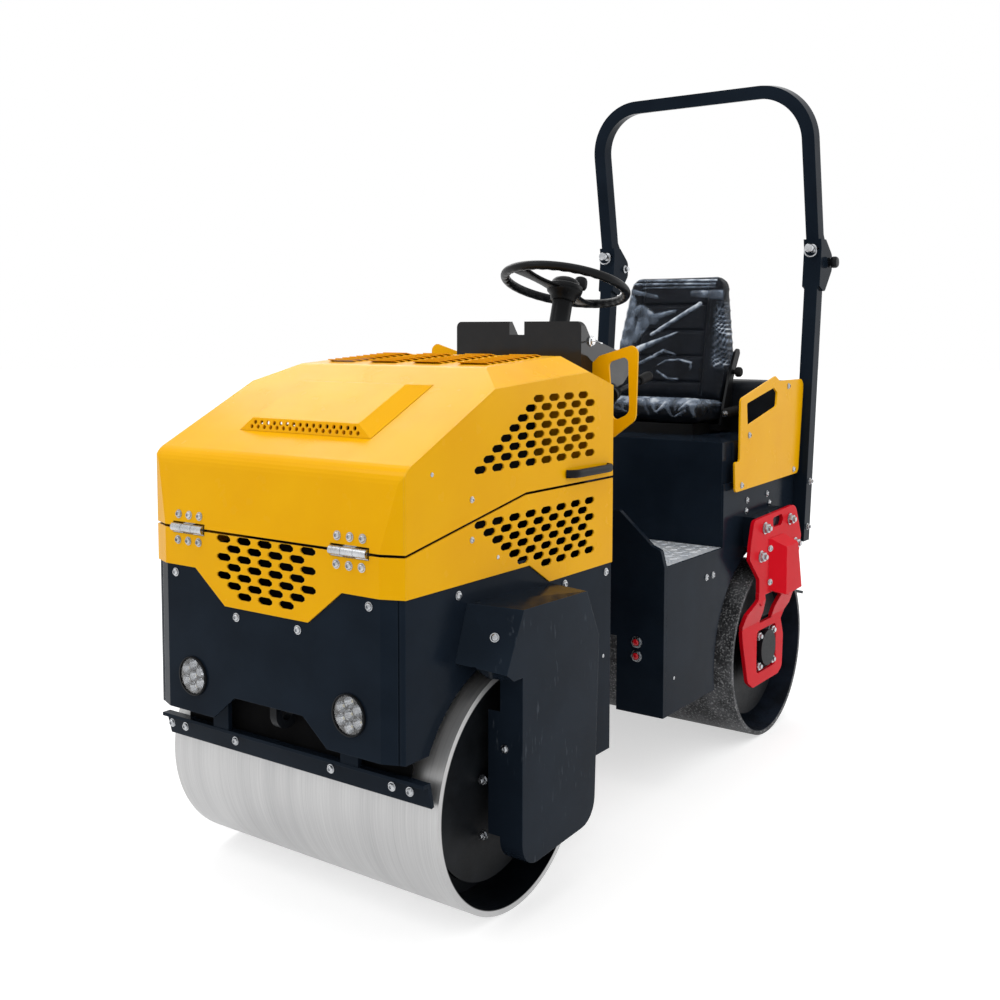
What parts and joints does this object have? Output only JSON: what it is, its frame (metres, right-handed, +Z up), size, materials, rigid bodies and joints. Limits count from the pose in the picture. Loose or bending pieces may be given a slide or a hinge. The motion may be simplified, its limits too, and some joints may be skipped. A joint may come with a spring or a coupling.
{
  "type": "tandem road roller",
  "caption": "Ride-on articulated tandem road roller with two smooth steel drums, a hinged engine hood, operator seat and folding roll bar.",
  "frame": {"origin": "middle of the footprint box on the ground", "axes": "+X is the machine's left, -Y is the travel direction of the nose, +Z is up"},
  "size_m": [0.952, 2.2652, 2.14],
  "materials": {
    "yellow_paint": "gloss warm yellow paint",
    "black_paint": "satin blue-black paint",
    "red_paint": "gloss red paint",
    "drum_steel": "rolled bright steel",
    "worn_drum_steel": "rough oiled steel",
    "zinc": "zinc plated steel",
    "dark_steel": "matt dark paint",
    "engine_grey": "cast grey",
    "tread": "rough grit tread",
    "vinyl": "black seat vinyl",
    "black_plastic": "black moulded plastic",
    "tank_plastic": "black moulded tank",
    "lamp_lens": "clear lamp lens",
    "rubber_buffers": "black rubber and dark plate"
  },
  "bodies": {
    "rear_frame": {"rear_chassis": "dark_steel", "toe_board": "black_paint", "rear_yoke": "red_paint", "step_left": "black_paint", "step_right": "black_paint", "floor_tread": "tread", "seat_base": "black_paint", "water_tank": "tank_plastic", "side_panel_left": "yellow_paint", "side_panel_right": "yellow_paint", "rear_plate": "black_paint", "seat_mount": "dark_steel", "seat_cushion": "vinyl", "seat_back": "vinyl", "console": "black_paint", "console_post": "black_paint", "steering_column": "black_paint", "grab_handle_left": "yellow_paint", "grab_handle_right": "yellow_paint", "drive_lever": "black_plastic", "hanger_blocks": "black_paint", "rear_support_left": "red_paint", "rear_support_right": "red_paint", "rear_motors": "dark_steel", "rear_scraper": "black_paint", "rops_posts": "black_paint"},
    "front_frame": {"front_chassis": "dark_steel", "front_bulkhead": "dark_steel", "tongue": "dark_steel", "skirt": "black_paint", "belt": "yellow_paint", "belt_hinges": "zinc", "engine": "engine_grey", "front_arm_left": "black_paint", "front_arm_right": "black_paint", "motor_guard_left": "black_paint", "motor_guard_right": "black_paint", "front_scraper": "black_paint", "head_lamps": "lamp_lens"},
    "hood": {"hood_shell": "yellow_paint", "hood_side_left": "yellow_paint", "hood_side_right": "yellow_paint", "hood_scoop": "yellow_paint", "hood_hinges": "zinc", "hood_handles": "black_paint"},
    "front_drum": {"front_drum_shell": "drum_steel", "front_drum_drive": "rubber_buffers"},
    "rear_drum": {"rear_drum_shell": "worn_drum_steel", "rear_drum_drive": "rubber_buffers"},
    "rops_hoop": {"rops_hoop": "black_paint"},
    "steering_wheel": {"steering_wheel": "black_plastic"},
    "steer_barrel": {"steer_barrel": "dark_steel"},
    "steer_rod": {"steer_rod": "zinc"}
  },
  "joints": [
    {"name": "steer", "type": "hinge", "parent": "rear_frame", "child": "front_frame", "pos_m": [0, -0.13565, 0.58], "axis": [0, 0, 1], "range_deg": [-25, 25]},
    {"name": "hood_open", "type": "hinge", "parent": "front_frame", "child": "hood", "pos_m": [0, -1.12265, 0.85], "axis": [1, 0, 0], "range_deg": [0, 62]},
    {"name": "front_drum_roll", "type": "hinge", "parent": "front_frame", "child": "front_drum", "pos_m": [0, -0.76065, 0.28], "axis": [1, 0, 0], "continuous": true},
    {"name": "rear_drum_roll", "type": "hinge", "parent": "rear_frame", "child": "rear_drum", "pos_m": [0, 0.67935, 0.28], "axis": [1, 0, 0], "continuous": true},
    {"name": "rops_fold", "type": "hinge", "parent": "rear_frame", "child": "rops_hoop", "pos_m": [0, 1.10765, 1.539], "axis": [-1, 0, 0], "range_deg": [0, 100]},
    {"name": "wheel_turn", "type": "hinge", "parent": "rear_frame", "child": "steering_wheel", "pos_m": [0, 0.09035, 1.436], "axis": [0, 0.2823, 0.9593], "range_deg": [-450, 450]},
    {"name": "barrel_swing", "type": "hinge", "parent": "rear_frame", "child": "steer_barrel", "pos_m": [-0.09, 0.12435, 0.401], "axis": [0, 0, 1], "range_deg": [-3.26, 3.26]},
    {"name": "rod_slide", "type": "slide", "parent": "steer_barrel", "child": "steer_rod", "axis": [0, -1, 0], "range_m": [-0.03804, 0.03804]}
  ],
  "couplings": [
    {"joint": "wheel_turn", "follows": "steer", "ratio": 18},
    {"joint": "barrel_swing", "follows": "steer", "ratio": 0.13045},
    {"joint": "rod_slide", "follows": "steer", "m_per_rad": 0.08717}
  ]
}
